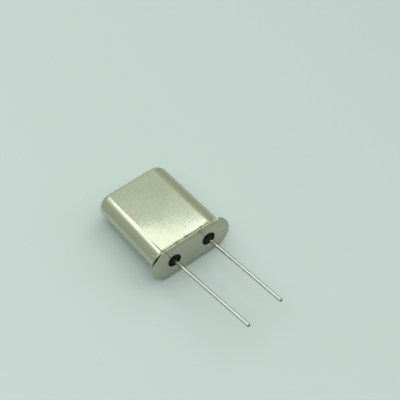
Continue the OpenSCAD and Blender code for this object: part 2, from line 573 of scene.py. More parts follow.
@dataclass(frozen=True, kw_only=True)
class DrawnNickel(NickelPlate):
    """Satin nickel plate on deep-drawn steel sheet.

    The sheet's grain shows through the plate as a fine speckle, the drawing die leaves faint
    streaks along the can, and the plate has a slow warm mottle. Along the upper side of the
    weld flange and of the bend above it, a painted brown shade darkens it.
    """

    plain: str = "#d2d2be"
    patch: str = "#cdccb4"
    edge: str = "#f8f6ee"
    # Brown of the painted shade on the flange and the bend.
    painted_shade: str = "#75715a"
    speckle_mm: Triple = (0.3, 0.36, 0.3)
    streak_mm: Triple = (0.22, 3.5, 0.22)
    cloud_mm: Triple = (0.9, 1.4, 0.9)
    grain_mm: Triple = (0.17, 0.2, 0.17)
    grain_share: float = 0.05
    speckle_depth_mm: float = 0.0013
    streak_depth_mm: float = 0.0016
    cloud_depth_mm: float = 0.0014
    smooth: float = 0.04
    rough: float = 0.09

    def material(self) -> bpy.types.Material:
        """Makes the material.

        Its patterns lie along the can. The grain's share scales the tone, up or down.

        Returns:
            The material.
        """
        material, tree = self.start()
        place = add_node(tree, "ShaderNodeTexCoord").outputs["Object"]
        turn = (-self.lay.tilt, 0, 0)
        speckle = self.pattern(tree, place, self.speckle_mm, detail=2.0, turn=turn)
        streaks = self.pattern(tree, place, self.streak_mm, detail=3.0, turn=turn)
        clouds = self.pattern(tree, place, self.cloud_mm, detail=4.0, turn=turn)
        tone, gloss = self.mottle(tree, clouds, speckle)
        grain = add_node(tree, "ShaderNodeMapRange", {
            "Value": self.pattern(tree, place, self.grain_mm, detail=1.0, turn=turn),
            "From Min": PATTERN_LOW, "From Max": PATTERN_HIGH,
            "To Min": 1.0 - self.grain_share, "To Max": 1.0 + self.grain_share,
        })
        plate = add_node(tree, "ShaderNodeVectorMath", {
            0: tone, "Scale": grain.outputs["Result"]}, operation="SCALE")
        return self.complete(material, {
            "Base Color": self.paint_shade(tree, place, plate.outputs["Vector"]),
            "Roughness": gloss, "Metallic": 1.0, "Specular Tint": linear(self.edge),
        }, (clouds, self.cloud_depth_mm), (streaks, self.streak_depth_mm),
            (speckle, self.speckle_depth_mm))


@dataclass(frozen=True)
class PaintedReflection:
    """Black crescent painted on the flange's side: a painted reflection of dark surroundings.

    It is an oval patch, given by the middle of its place, its way along the flange and its
    half sizes along the flange, along the unit and into the metal. The fade is the outer
    share of them over which it runs out.
    """

    middle: Triple
    turn: float
    half_sizes: Triple = (1.0, 0.075, 0.4)
    fade: float = 0.1
    # Black of the painted reflection.
    black: str = "#0b0a08"

    def paint_reflection(self, tree: Tree, place: Socket, colour: Socket, lay: Lay) -> Socket:
        """Lays the painted black reflection over a colour, by the place in half sizes from the
        patch's middle.

        Args:
            tree: Tree of the material.
            place: Where the surface's place comes from.
            colour: Colour of the plate.
            lay: How the unit lies.

        Returns:
            The colour with the painted reflection in it.
        """
        pose = lay.matrix() @ Matrix.Rotation(math.radians(self.turn), 4, "Y")
        middle = lay.matrix() @ Vector(self.middle)
        spot = add_node(tree, "ShaderNodeMapping", {
            "Vector": place, "Location": tuple(middle), "Rotation": tuple(pose.to_euler()),
            "Scale": tuple(size * MM for size in self.half_sizes),
        }, vector_type="TEXTURE")
        far = add_node(tree, "ShaderNodeVectorMath", {0: spot.outputs["Vector"]},
                       operation="LENGTH")
        mark = add_node(tree, "ShaderNodeMapRange", {
            "Value": far.outputs["Value"], "From Min": 1.0, "From Max": 1.0 - self.fade,
        })
        # Mixes in the painted black reflection.
        return add_node(tree, "ShaderNodeMix", {
            "Factor": mark.outputs["Result"], MIX_A: colour, MIX_B: linear(self.black),
        }, data_type="RGBA").outputs[MIX_RESULT]


@dataclass(frozen=True, kw_only=True)
class HeaderNickel(NickelPlate):
    """Nickel plate on a stamped header.

    The face was coined flat and plated, so it mirrors softly, has no lines, and is a little
    darker and duller than the can. Tiny pits and a slow mottle break it up. The upper side
    of its flange gets a painted golden brown shade, and the left end a painted black reflection.
    """

    painted_reflection: PaintedReflection
    plain: str = "#c4c2b3"
    patch: str = "#bbb9a4"
    edge: str = "#d6d6d1"
    # Golden brown of the painted shade on the flange.
    painted_shade: str = "#aca589"
    pit_mm: float = 0.11
    cloud_mm: float = 0.9
    pit_depth_mm: float = 0.0006
    smooth: float = 0.16
    rough: float = 0.26

    def material(self) -> bpy.types.Material:
        """Makes the material.

        Returns:
            The material.
        """
        material, tree = self.start()
        place = add_node(tree, "ShaderNodeTexCoord").outputs["Object"]
        pits = self.pattern(tree, place, (self.pit_mm,) * 3, detail=3.0)
        clouds = self.pattern(tree, place, (self.cloud_mm,) * 3, detail=4.0)
        tone, gloss = self.mottle(tree, clouds, clouds)
        # The base colour gets the painted shade on the flange and the painted black reflection
        # on the left end.
        plate = self.paint_shade(tree, place, tone)
        return self.complete(material, {
            "Base Color": self.painted_reflection.paint_reflection(tree, place, plate, self.lay),
            "Roughness": gloss, "Metallic": 1.0, "Specular Tint": linear(self.edge),
        }, (pits, self.pit_depth_mm))


@dataclass(frozen=True, kw_only=True)
class SealGlass(MottledFinish):
    """Black sealing glass, fired in place.

    It flowed in the furnace, so it is glossy, with a faint skin of bubbles and ripples, and
    so dark that no light passes. The bubbles under the skin scatter much of what it would
    mirror, so its specular level is low.
    """

    plain: str = "#050405"
    patch: str = "#0c090d"
    ripple_mm: float = 0.28
    ripple_depth_mm: float = 0.006
    smooth: float = 0.12
    rough: float = 0.3
    ior: float = 1.52
    specular_level: float = 0.1

    def material(self) -> bpy.types.Material:
        """Makes the material.

        Returns:
            The material.
        """
        material, tree = self.start()
        place = add_node(tree, "ShaderNodeTexCoord").outputs["Object"]
        ripples = self.pattern(tree, place, (self.ripple_mm,) * 3, detail=3.0)
        tone, gloss = self.mottle(tree, ripples, ripples)
        return self.complete(material, {
            "Base Color": tone, "Roughness": gloss, "IOR": self.ior,
            "Specular IOR Level": self.specular_level,
        }, (ripples, self.ripple_depth_mm))


@dataclass(frozen=True, kw_only=True)
class PlatedWire(MottledFinish):
    """Bright plate on drawn nickel-iron wire, sheared off at its end.

    The drawing die leaves hair lines along the wire, and its plate darkens at a grazing
    view. The heat of the seal has left it dull next to the glass. The sheared end is bare,
    dark metal. Distances along the wire are taken from that end.
    """

    plain: str = "#eeefe7"
    patch: str = "#c4c4b8"
    edge: str = "#2c2c28"
    bare: str = "#98968a"
    mark: str = "wire_place"
    line_mm: Triple = (0.05, 0.05, 3.0)
    patch_mm: Triple = (0.4, 0.4, 0.9)
    line_depth_mm: float = 0.0008
    smooth: float = 0.03
    rough: float = 0.09
    fired: float = 0.28
    fired_mm: tuple[float, float] = (11.9, 12.6)
    cut_mm: float = 0.05

    def material(self) -> bpy.types.Material:
        """Makes the material.

        The attribute gives two distances across the wire and one along it, in millimetres.

        Returns:
            The material.
        """
        material, tree = self.start()
        mark = add_node(tree, "ShaderNodeAttribute", attribute_name=self.mark)
        place = add_node(tree, "ShaderNodeVectorMath", {
            0: mark.outputs["Vector"], "Scale": MM}, operation="SCALE").outputs["Vector"]
        along = add_node(tree, "ShaderNodeSeparateXYZ", {0: mark.outputs["Vector"]}).outputs["Z"]
        lines = self.pattern(tree, place, self.line_mm, detail=2.0)
        patches = self.pattern(tree, place, self.patch_mm, detail=3.0)
        tone, drawn = self.mottle(tree, patches, patches)
        sheared = add_node(tree, "ShaderNodeMath", {0: along, 1: self.cut_mm},
                           operation="LESS_THAN")
        colour = add_node(tree, "ShaderNodeMix", {
            "Factor": sheared.outputs[0], MIX_A: tone, MIX_B: linear(self.bare),
        }, data_type="RGBA")
        gloss = add_node(tree, "ShaderNodeMapRange", {
            "Value": along, "From Min": self.fired_mm[0], "From Max": self.fired_mm[1],
            "To Min": drawn, "To Max": self.fired,
        })
        return self.complete(material, {
            "Base Color": colour.outputs[MIX_RESULT], "Roughness": gloss.outputs["Result"],
            "Metallic": 1.0, "Specular Tint": linear(self.edge),
        }, (lines, self.line_depth_mm))


@dataclass(frozen=True, kw_only=True)
class InnerFinish(Finish):
    """Finish of a piece that the can seals in: two tones, mixed by a grain, and a gloss."""

    plain: str
    patch: str
    grain_mm: Triple
    metallic: float
    roughness: float
    ior: float = 1.5
    clear: float = 0.0

    def material(self) -> bpy.types.Material:
        """Makes the material.

        Returns:
            The material.
        """
        material, tree = self.start()
        place = add_node(tree, "ShaderNodeTexCoord").outputs["Object"]
        tone = add_node(tree, "ShaderNodeMix", {
            "Factor": self.pattern(tree, place, self.grain_mm, detail=3.0),
            MIX_A: linear(self.plain), MIX_B: linear(self.patch),
        }, data_type="RGBA")
        return self.complete(material, {
            "Base Color": tone.outputs[MIX_RESULT], "Metallic": self.metallic,
            "Roughness": self.roughness, "IOR": self.ior, "Transmission Weight": self.clear,
        })


# ---------------------------------------------------------------- the unit's pieces


@dataclass(frozen=True)
class DrawnCan:
    """The drawn can with its own weld flange: one sheet, closed at the far end."""

    width: float
    thickness: float
    height: float
    flange_length: float
    flange_width: float
    flange_low: float
    flange_top: float
    wall: float = 0.22
    crown: float = 1.0
    bend: float = 0.15
    upper_edge: float = 0.12
    seam_edge: float = 0.07
    # Painted shade on the bend, and the length above the bend over which it fades out.
    bend_shade: float = 1.0
    shade_fade: float = 0.4
    crown_steps: int = 28

    @classmethod
    def from_frame(cls, lay: Lay) -> "DrawnCan":
        """Reads the can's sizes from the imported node.

        The points of the upper half give the drawn body, and all points give the flange. The
        flange's top is the highest point that lies further out than the body and its bend.

        Args:
            lay: How the unit lies.

        Returns:
            The can.
        """
        points = lay.own_points("can")
        body = points[points[:, 1] > points[:, 1].max() / 2]
        thickness = np.ptp(body[:, 2])
        outside = points[np.abs(points[:, 2]) > thickness / 2 + 2 * cls.bend]
        return cls(width=np.ptp(body[:, 0]), thickness=thickness, height=points[:, 1].max(),
                   flange_length=np.ptp(points[:, 0]), flange_width=np.ptp(points[:, 2]),
                   flange_low=points[:, 1].min(), flange_top=outside[:, 1].max())

    def profile(self) -> np.ndarray:
        """Draws the shell's profile.

        It runs from the middle of the closed end outside to its middle inside. The crown, the
        bend and the flange's two edges are arcs. Inside, the mouth's radius is the bend's
        plus the flange's thickness. The bend into the flange gets painted shade too, which
        fades out just above it.

        Returns:
            Rows of distance, height, straight and share of painted shade.
        """
        body, rim = self.width - self.thickness, self.flange_length - self.flange_width
        half, reach = self.thickness / 2, self.flange_width / 2
        inner, inner_crown = half - self.wall, self.crown - self.wall
        mouth = self.bend + self.flange_top - self.flange_low
        upper, seam = self.upper_edge, self.seam_edge
        return np.vstack([
            row(0, self.height, body),
            arc(half - self.crown, self.height - self.crown, self.crown, 90, 0, body,
                self.crown_steps),
            # From here down, painted shade fades in, and lies on the bend and on the flange's
            # two edges.
            row(half, self.flange_top + self.bend + self.shade_fade, body),
            arc(half + self.bend, self.flange_top + self.bend, self.bend, 180, 270, body,
                shade_share=self.bend_shade),
            arc(reach - upper, self.flange_top - upper, upper, 90, 0, rim, shade_share=1),
            arc(reach - seam, self.flange_low + seam, seam, 0, -90, rim, shade_share=1),
            arc(inner + mouth, self.flange_low + mouth, mouth, 270, 180, body),
            arc(inner - inner_crown, self.height - self.crown, inner_crown, 0, 90, body),
            row(0, self.height - self.wall, body),
        ])

    def build(self, lay: Lay) -> bpy.types.Object:
        """Carries the profile round the oval track.

        Args:
            lay: How the unit lies.

        Returns:
            The piece.
        """
        skin, track, rows = Skin(), OvalTrack(), held(self.profile())
        skin.add(track.carry(rows), wrap=True, marks=track.shade_marks(rows))
        return skin.finish("can_shell", lay, DrawnNickel.mark)

    def dress(self, piece: bpy.types.Object, lay: Lay) -> bpy.types.Object:
        """Gives the can its plating."""
        finish = DrawnNickel(name="Satin nickel plate on drawn steel", lay=lay)
        return settle(piece, finish.material(), "can_plating", "can")


@dataclass(frozen=True)
class HeaderBase:
    """The header: weld flange, island inside the can and two holes for the glass."""

    flange_length: float
    flange_width: float
    flange_top: float
    island_length: float
    island_width: float
    island_top: float
    hole: float
    hole_x: float
    rim: float = 0.1
    edge: float = 0.13
    margin: float = 0.42
    slope: float = 5.0
    crease_width: float = 0.055
    crease_depth: float = 0.038
    island_edge: float = 0.12
    hole_edge: float = 0.05
    # Where the painted black reflection sits: degrees up the left end's round, and height.
    reflection_at: float = 51.0
    reflection_height: float = 0.13
    middle_steps: int = 24

    @classmethod
    def from_frame(cls, lay: Lay) -> "HeaderBase":
        """Reads the header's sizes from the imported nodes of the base, can and glass.

        The points well above the flange give the island.

        Args:
            lay: How the unit lies.

        Returns:
            The header.
        """
        points, bead = lay.own_points("base"), lay.own_points("glass_bead_right")
        flange_top = lay.own_points("can")[:, 1].min()
        island = points[points[:, 1] > 1.5 * flange_top]
        return cls(flange_length=np.ptp(points[:, 0]), flange_width=np.ptp(points[:, 2]),
                   flange_top=flange_top, island_length=np.ptp(island[:, 0]),
                   island_width=np.ptp(island[:, 2]), island_top=points[:, 1].max(),
                   hole=np.ptp(bead[:, 0]), hole_x=(bead[:, 0].min() + bead[:, 0].max()) / 2)

    def profile(self) -> np.ndarray:
        """Draws the outer wall's profile, from the seating face's flat to the island's top.

        The coining die left a fine straight crease round the flat, and the two rows within
        it keep it straight under smooth shading. From there the margin falls back by its
        slope and runs into the rim's arc, whose centre lies the radius behind the slope's
        line.

        Returns:
            Rows of distance, height, straight and share of painted shade.
        """
        rim = self.flange_length - self.flange_width
        body = self.island_length - self.island_width
        reach, island = self.flange_width / 2, self.island_width / 2
        slope = math.radians(self.slope)
        run = self.margin - self.rim * (1 - math.sin(slope))
        middle = self.crease_depth + run * math.tan(slope) + self.rim * math.cos(slope)
        return np.vstack([
            *(row(reach - self.margin - (1 - share) * self.crease_width,
                  share * self.crease_depth, rim) for share in (0, 0.25, 0.75, 1)),
            # The rim's two arcs get painted shade.
            arc(reach - self.rim, middle, self.rim, self.slope - 90, 0, rim, shade_share=1),
            arc(reach - self.edge, self.flange_top - self.edge, self.edge, 0, 90, rim,
                shade_share=1),
            row(island, self.flange_top, body),
            arc(island - self.island_edge, self.island_top - self.island_edge,
                self.island_edge, 0, 90, body),
        ])

    def plate(self, outline: np.ndarray, radius: float,
              angle: np.ndarray | None = None) -> tuple[np.ndarray, np.ndarray]:
        """Flat plate of the right half, between an outline and the hole.

        The outline is closed along x = 0. Each of its points is joined to a point of the
        hole's circle: the one in the given direction or, if none is given, the one in the
        same direction from the hole's middle. The joins are divided alike, with one row
        close to each end.

        Args:
            outline: Points of the half outline, from the lower to the upper side.
            radius: Radius of the hole.
            angle: Directions of the circle's points from the hole's middle.

        Returns:
            The grid of the plate, and the directions of the circle's points.
        """
        back = np.linspace(outline[-1], outline[0], self.middle_steps + 1)[1:]
        border = np.vstack([outline, back])
        middle = np.array([self.hole_x, border[0, 1], 0])
        ray = border - middle
        if angle is None:
            angle = np.arctan2(ray[:, 2], ray[:, 0])
        circle = middle + radius * np.column_stack([np.cos(angle), 0 * angle, np.sin(angle)])
        way = border - circle
        length = np.linalg.norm(way, axis=1)
        way /= length[:, None]
        steps = np.stack([0 * length, 0 * length + HOLD_GAP, length / 3, length * 2 / 3,
                          length - HOLD_GAP, length])
        return circle + steps[:, :, None] * way, angle

    def hole_wall(self, angle: np.ndarray) -> np.ndarray:
        """Turns the right hole's rounded mouth and its bore about its middle.

        Args:
            angle: Directions of its points from its middle.

        Returns:
            The grid of the wall.
        """
        radius = self.hole / 2
        return turned(held(np.vstack([
            arc(radius + self.hole_edge, self.hole_edge, self.hole_edge, 270, 180, 0),
            row(radius, self.island_top, 0)])), angle, self.hole_x)

    def build(self, lay: Lay) -> bpy.types.Object:
        """Carries the wall round, and closes both flat sides round the two holes.

        Args:
            lay: How the unit lies.

        Returns:
            The piece.
        """
        track, skin, rows = OvalTrack(), Skin(), held(self.profile())
        wall = track.carry(rows)
        skin.add(wall, wrap=True, marks=track.shade_marks(rows))
        face, angle = self.plate(track.right_half(wall[0]), self.hole / 2 + self.hole_edge)
        top, _ = self.plate(track.right_half(wall[-1]), self.hole / 2, angle)
        for side in Side:
            flip = np.array([side.value, 1, 1])
            skin.add(face * flip)
            skin.add(top * flip)
            skin.add(self.hole_wall(angle) * flip)
        return skin.finish("header_base", lay, HeaderNickel.mark)

    def painted_reflection(self) -> PaintedReflection:
        """Places the painted black reflection on the left end of the flange, above the middle of
        its round.

        The middle of the mark is the end's centre plus the round's radius in the direction
        of the mark, an angle up from the end.

        Returns:
            The mark.
        """
        up = math.radians(self.reflection_at)
        reach = self.flange_width / 2
        across = (self.flange_length - self.flange_width) / 2 + reach * math.cos(up)
        return PaintedReflection((-across, self.reflection_height, reach * math.sin(up)), self.reflection_at - 90)

    def dress(self, piece: bpy.types.Object, lay: Lay) -> bpy.types.Object:
        """Gives the header its plating."""
        finish = HeaderNickel(name="Satin nickel plate on a stamped header", lay=lay,
                              painted_reflection=self.painted_reflection())
        return settle(piece, finish.material(), "base_plating", "base")


@dataclass(frozen=True)
class GlassSeal:
    """Glass ring between the header's hole and the wire, hollowed on its outer face."""

    side: Side
    x: float
    outer: float
    inner: float
    low: float
    top: float
    dip: float = 0.07
    steps: int = 96
    face_steps: int = 16

    @classmethod
    def from_frame(cls, side: Side, lay: Lay) -> "GlassSeal":
        """Reads the ring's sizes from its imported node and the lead's mount.

        Args:
            side: End of the width.
            lay: How the unit lies.

        Returns:
            The ring.
        """
        name = side.name.lower()
        points = lay.own_points(f"glass_bead_{name}")
        low, high = points.min(axis=0), points.max(axis=0)
        return cls(side=side, x=(low[0] + high[0]) / 2, outer=(high[0] - low[0]) / 2,
                   inner=mount(f"{name}_lead")["dims"]["r_mm"], low=low[1], top=high[1])

    def build(self, lay: Lay) -> bpy.types.Object:
        """Turns the ring's closed profile about the wire.

        The hollow is an arc through both rims of the outer face and the dip between them. Its
        radius is the squares of its half chord and its dip, added, over twice the dip.

        Args:
            lay: How the unit lies.

        Returns:
            The piece.
        """
        half = (self.outer - self.inner) / 2
        bow = (half ** 2 + self.dip ** 2) / (2 * self.dip)
        spread = math.degrees(math.asin(half / bow))
        rows = np.vstack([
            arc(self.inner + half, self.low + self.dip - bow, bow, 90 + spread, 90 - spread,
                0, self.face_steps),
            row(self.outer, self.top, 0),
            row(self.inner, self.top, 0),
            row(self.inner, self.low, 0),
        ])
        skin, turn = Skin(), np.linspace(0, 2 * np.pi, self.steps, endpoint=False)
        skin.add(turned(rows, turn, self.x), wrap=True)
        return skin.finish(f"glass_seal_{self.side.name.lower()}", lay)

    def dress(self, piece: bpy.types.Object, material: bpy.types.Material) -> bpy.types.Object:
        """Gives the ring its glass."""
        return settle(piece, material, "seal_glass", f"glass_bead_{self.side.name.lower()}")


@dataclass(frozen=True)
class WireLead:
    """One wire: nail head and post inside, a slight bend outside the glass, a cut end.

    The bend starts the exit's length outside the seating face and has the elbow's radius.
    """

    side: Side
    x: float
    top: float
    radius: float
    bend: float
    lean: np.ndarray
    reach: float
    head: float = 0.45
    head_height: float = 0.2
    head_edge: float = 0.03
    exit: float = 0.1
    elbow: float = 1.5
    cut: float = 0.05
    steps: int = 40
    head_steps: int = 6
    elbow_steps: int = 12
    run_steps: int = 25
    hold: float = 0.01

    @classmethod
    def from_frame(cls, side: Side, lay: Lay) -> "WireLead":
        """Reads the wire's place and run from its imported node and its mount.

        Args:
            side: End of the width.
            lay: How the unit lies.

        Returns:
            The wire.
        """
        name = side.name.lower()
        pin = mount(f"{name}_lead")
        points = lay.own_points(f"lead_{name}")
        inside = points[points[:, 1] > 0]
        run = lay.own_direction(pin["axis"])
        lean = np.array([run[0], 0, run[2]])
        return cls(side=side, x=(inside[:, 0].min() + inside[:, 0].max()) / 2,
                   top=points[:, 1].max(), radius=pin["dims"]["r_mm"],
                   bend=math.acos(-run[1]), lean=lean / np.linalg.norm(lean),
                   reach=pin["dims"]["length_mm"] + cls.cut)

    def stretch(self, start: float, end: float, steps: int) -> np.ndarray:
        """Even rings of the wire's radius, from one distance along it to another."""
        along = np.linspace(start, end, steps + 1)
        return np.column_stack([np.full(steps + 1, self.radius), along,
                                np.zeros((steps + 1, 2))])

    def rings(self) -> np.ndarray:
        """Sets out the rings from the nail head's top to the cut end.

        Returns:
            Rows of radius and distance along the wire, with two zeros.
        """
        elbow_start = self.top + self.exit
        elbow_end = elbow_start + self.elbow * self.bend
        end = elbow_end + self.reach
        edge = self.head_edge
        return held(np.vstack([
            row(0, 0, 0),
            arc(self.head - edge, edge, edge, 270, 360, 0, self.head_steps),
            arc(self.head - edge, self.head_height - edge, edge, 0, 90, 0, self.head_steps),
            row(self.radius, self.head_height, 0),
            self.stretch(elbow_start, elbow_end, self.elbow_steps),
            self.stretch(elbow_end, end - self.cut, self.run_steps)[1:],
            row(self.radius - self.cut, end, 0),
            row(0, end, 0),
        ]), self.hold)

    def build(self, lay: Lay) -> bpy.types.Object:
        """Carries a circle along the wire's path, with the radius of each ring.

        The path runs down the middle of the hole, then round the elbow, where it turns by
        the bend towards the lean, then straight on. Along the elbow it drops by the elbow's
        radius times the sine of the angle turned so far, and sways by that radius times 1
        less the cosine. A point of a ring is the path's point plus the ring's radius times
        the circle across the path.

        Args:
            lay: How the unit lies.

        Returns:
            The piece.
        """
        rings = self.rings()
        radius, along = rings[:, :1], rings[:, 1:2]
        bend_at = self.top + self.exit
        turned_by = np.clip((along - bend_at) / self.elbow, 0, self.bend)
        past = np.maximum(along - bend_at - self.elbow * self.bend, 0)
        down = np.array([0.0, -1.0, 0.0])
        drop = (np.minimum(along, bend_at) + self.elbow * np.sin(turned_by)
                + past * np.cos(turned_by))
        sway = self.elbow * (1 - np.cos(turned_by)) + past * np.sin(turned_by)
        path = np.array([self.x, self.top, 0]) + drop * down + sway * self.lean
        across = np.cos(turned_by) * self.lean - np.sin(turned_by) * down
        beside = np.cross(down, self.lean)
        turn = np.linspace(0, 2 * np.pi, self.steps, endpoint=False)[None, :, None]
        size = radius[:, :, None]
        grid = path[:, None] + size * (np.cos(turn) * across[:, None] + np.sin(turn) * beside)
        to_end = np.broadcast_to(along[-1] - along, (len(rings), self.steps))
        marks = np.stack([radius * np.cos(turn[..., 0]), radius * np.sin(turn[..., 0]), to_end],
                         axis=-1)
        skin = Skin()
        skin.add(grid, wrap=True, marks=marks)
        return skin.finish(f"wire_lead_{self.side.name.lower()}", lay, PlatedWire.mark)

    def dress(self, piece: bpy.types.Object, material: bpy.types.Material) -> bpy.types.Object:
        """Gives the wire its plating."""
        return settle(piece, material, "lead_wire", f"lead_{self.side.name.lower()}")


@dataclass(frozen=True)
class Resonator:
    """The pieces that the can seals in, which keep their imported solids."""

    finishes: tuple[tuple[tuple[str, ...], InnerFinish], ...] = (
        # Rolled strip has fine lines along it and a silvery, even shine.
        (("clip_left", "clip_right"), InnerFinish(
            name="Rolled nickel silver spring strip", plain="#b9b6a8", patch="#a5a191",
            grain_mm=(0.03, 2.0, 0.3), metallic=1.0, roughness=0.3)),
        # Lapped and polished quartz is clear, smooth and almost without a tint.
        (("quartz_blank",), InnerFinish(
            name="Lapped and polished quartz", plain="#f4f8f8", patch="#ecf2f3",
            grain_mm=(0.5, 0.5, 0.5), metallic=0.0, roughness=0.06, ior=1.544, clear=0.9)),
        # A film laid on from vapour takes the polish of the quartz and is a soft mirror.
        (("front_electrode", "back_electrode"), InnerFinish(
            name="Evaporated silver film", plain="#e3e2dc", patch="#d6d5ce",
            grain_mm=(0.2, 0.2, 0.2), metallic=1.0, roughness=0.18)),
        # Silver flakes set in resin look grey, dull and grainy. The real flakes are about
        # 0.01 mm, and they are drawn as coarse as they need to show.
        (("bond_left", "bond_right"), InnerFinish(
            name="Cured silver-filled epoxy", plain="#b4b4b2", patch="#8f8f8e",
            grain_mm=(0.06, 0.06, 0.06), metallic=0.4, roughness=0.6)),
    )

    def dress(self) -> None:
        """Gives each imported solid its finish."""
        for nodes, finish in self.finishes:
            material = finish.material()
            for name in nodes:
                for slot in frame["nodes"][name].material_slots:
                    slot.material = material
                LOG.info("%s: %s", name, finish.name)


# ---------------------------------------------------------------- studio


@dataclass(frozen=True)
class Viewpoint:
    """Where the camera stands, in degrees and millimetres, its lens and its reach in metres."""

    azimuth: float = -30.603
    elevation: float = 49.166
    roll: float = -7.839
    distance: float = 107.129
    target: Triple = (3.612, 2.745, 3.631)
    lens: float = 83.391
    clip: tuple[float, float] = (0.001, 100.0)

    def place(self) -> Matrix:
        """Gives the camera's matrix.

        Its columns are the way to the right and the way up, both turned by the roll, and the
        way back from the target, along which the camera stands at its distance.

        Returns:
            The matrix, in metres.
        """
        a, e, r = np.radians([self.azimuth, self.elevation, self.roll])
        back = np.array([np.sin(a) * np.cos(e), -np.cos(a) * np.cos(e), np.sin(e)])
        level = np.array([np.cos(a), np.sin(a), 0])
        upright = np.cross(back, level)
        right = np.cos(r) * level + np.sin(r) * upright
        up = np.cos(r) * upright - np.sin(r) * level
        spot = (np.array(self.target) + back * self.distance) * MM
        turn = Matrix(np.column_stack([right, up, back]).tolist()).to_4x4()
        return Matrix.Translation(spot.tolist()) @ turn

    def build(self) -> bpy.types.Object:
        """Makes the camera and gives it to the scene.

        Returns:
            The camera.
        """
        data = bpy.data.cameras.new("view")
        data.lens = self.lens
        data.clip_start, data.clip_end = self.clip
        camera = put_in_scene("view", data)
        camera.matrix_world = self.place()
        bpy.context.scene.camera = camera
        return camera


@dataclass(frozen=True)
class SoftBox:
    """A square lamp that looks at the unit.

    Its bearing from +y to +x and its height are in degrees, its light is the radiance of its
    face, and its distance and size are in metres. A lamp that isn't mirrored lights the unit
    without showing in its plate.
    """

    name: str
    bearing: float
    elevation: float
    light: float
    mirrored: bool = True
    distance: float = 0.5
    size: float = 0.3

    def hang(self) -> bpy.types.Object:
        """Hangs the lamp.

        Its power is its light times pi times the square of its size.

        Returns:
            The lamp.
        """
        turn, rise = math.radians(self.bearing), math.radians(self.elevation)
        way = Vector((math.sin(turn) * math.cos(rise), math.cos(turn) * math.cos(rise),
                      math.sin(rise)))
        data = bpy.data.lights.new(self.name, "AREA")
        data.shape, data.size = "SQUARE", self.size
        data.energy = self.light * math.pi * self.size ** 2
        lamp = put_in_scene(self.name, data)
        lamp.location = way * self.distance
        lamp.rotation_euler = way.to_track_quat("Z", "Y").to_euler()
        lamp.visible_glossy = self.mirrored
        return lamp


@dataclass(frozen=True)
class Card:
    """An oval card that only the plated pieces mirror.

    Its middle is a bearing from +y to +x and a height in degrees, its half sizes are degrees
    too, its light is the radiance that it shows, and its distance is in metres.
    """

    name: str
    bearing: float
    elevation: float
    half_width: float
    half_height: float
    light: Triple
    distance: float = 0.3
    inmost: float = 0.02
    rings: int = 8
    spokes: int = 48

    def hold(self) -> bpy.types.Object:
        """Makes the card as a patch of a ball round the unit, hidden from the camera.

        A point of the patch lies on the ball at the middle's bearing and height plus the
        half sizes times the cosine and sine of the way round, times its share of the oval,
        which runs from the inmost share to 1.

        Returns:
            The card.
        """
        share, way = np.meshgrid(np.linspace(self.inmost, 1, self.rings),
                                 np.linspace(0, 2 * np.pi, self.spokes + 1))
        turn = np.radians(self.bearing + self.half_width * share * np.cos(way))
        rise = np.radians(self.elevation + self.half_height * share * np.sin(way))
        ball = np.stack([np.sin(turn) * np.cos(rise), np.cos(turn) * np.cos(rise),
                         np.sin(rise)], axis=-1) * self.distance
        index = np.arange(share.size).reshape(share.shape)
        quads = np.stack([index[:-1, :-1], index[:-1, 1:], index[1:, 1:], index[1:, :-1]],
                         axis=-1).reshape(-1, 4)
        mesh = bpy.data.meshes.new(self.name)
        mesh.from_pydata(ball.reshape(-1, 3).tolist(), [], quads.tolist())
        material, _ = Finish(name=f"Card {self.name}").start()
        mesh.materials.append(Finish.complete(material, {
            "Base Color": (0.0, 0.0, 0.0, 1.0), "Specular IOR Level": 0.0,
            "Emission Color": (*self.light, 1.0), "Emission Strength": 1.0}))
        card = put_in_scene(self.name, mesh)
        card.visible_camera = card.visible_diffuse = card.visible_shadow = False
        return card


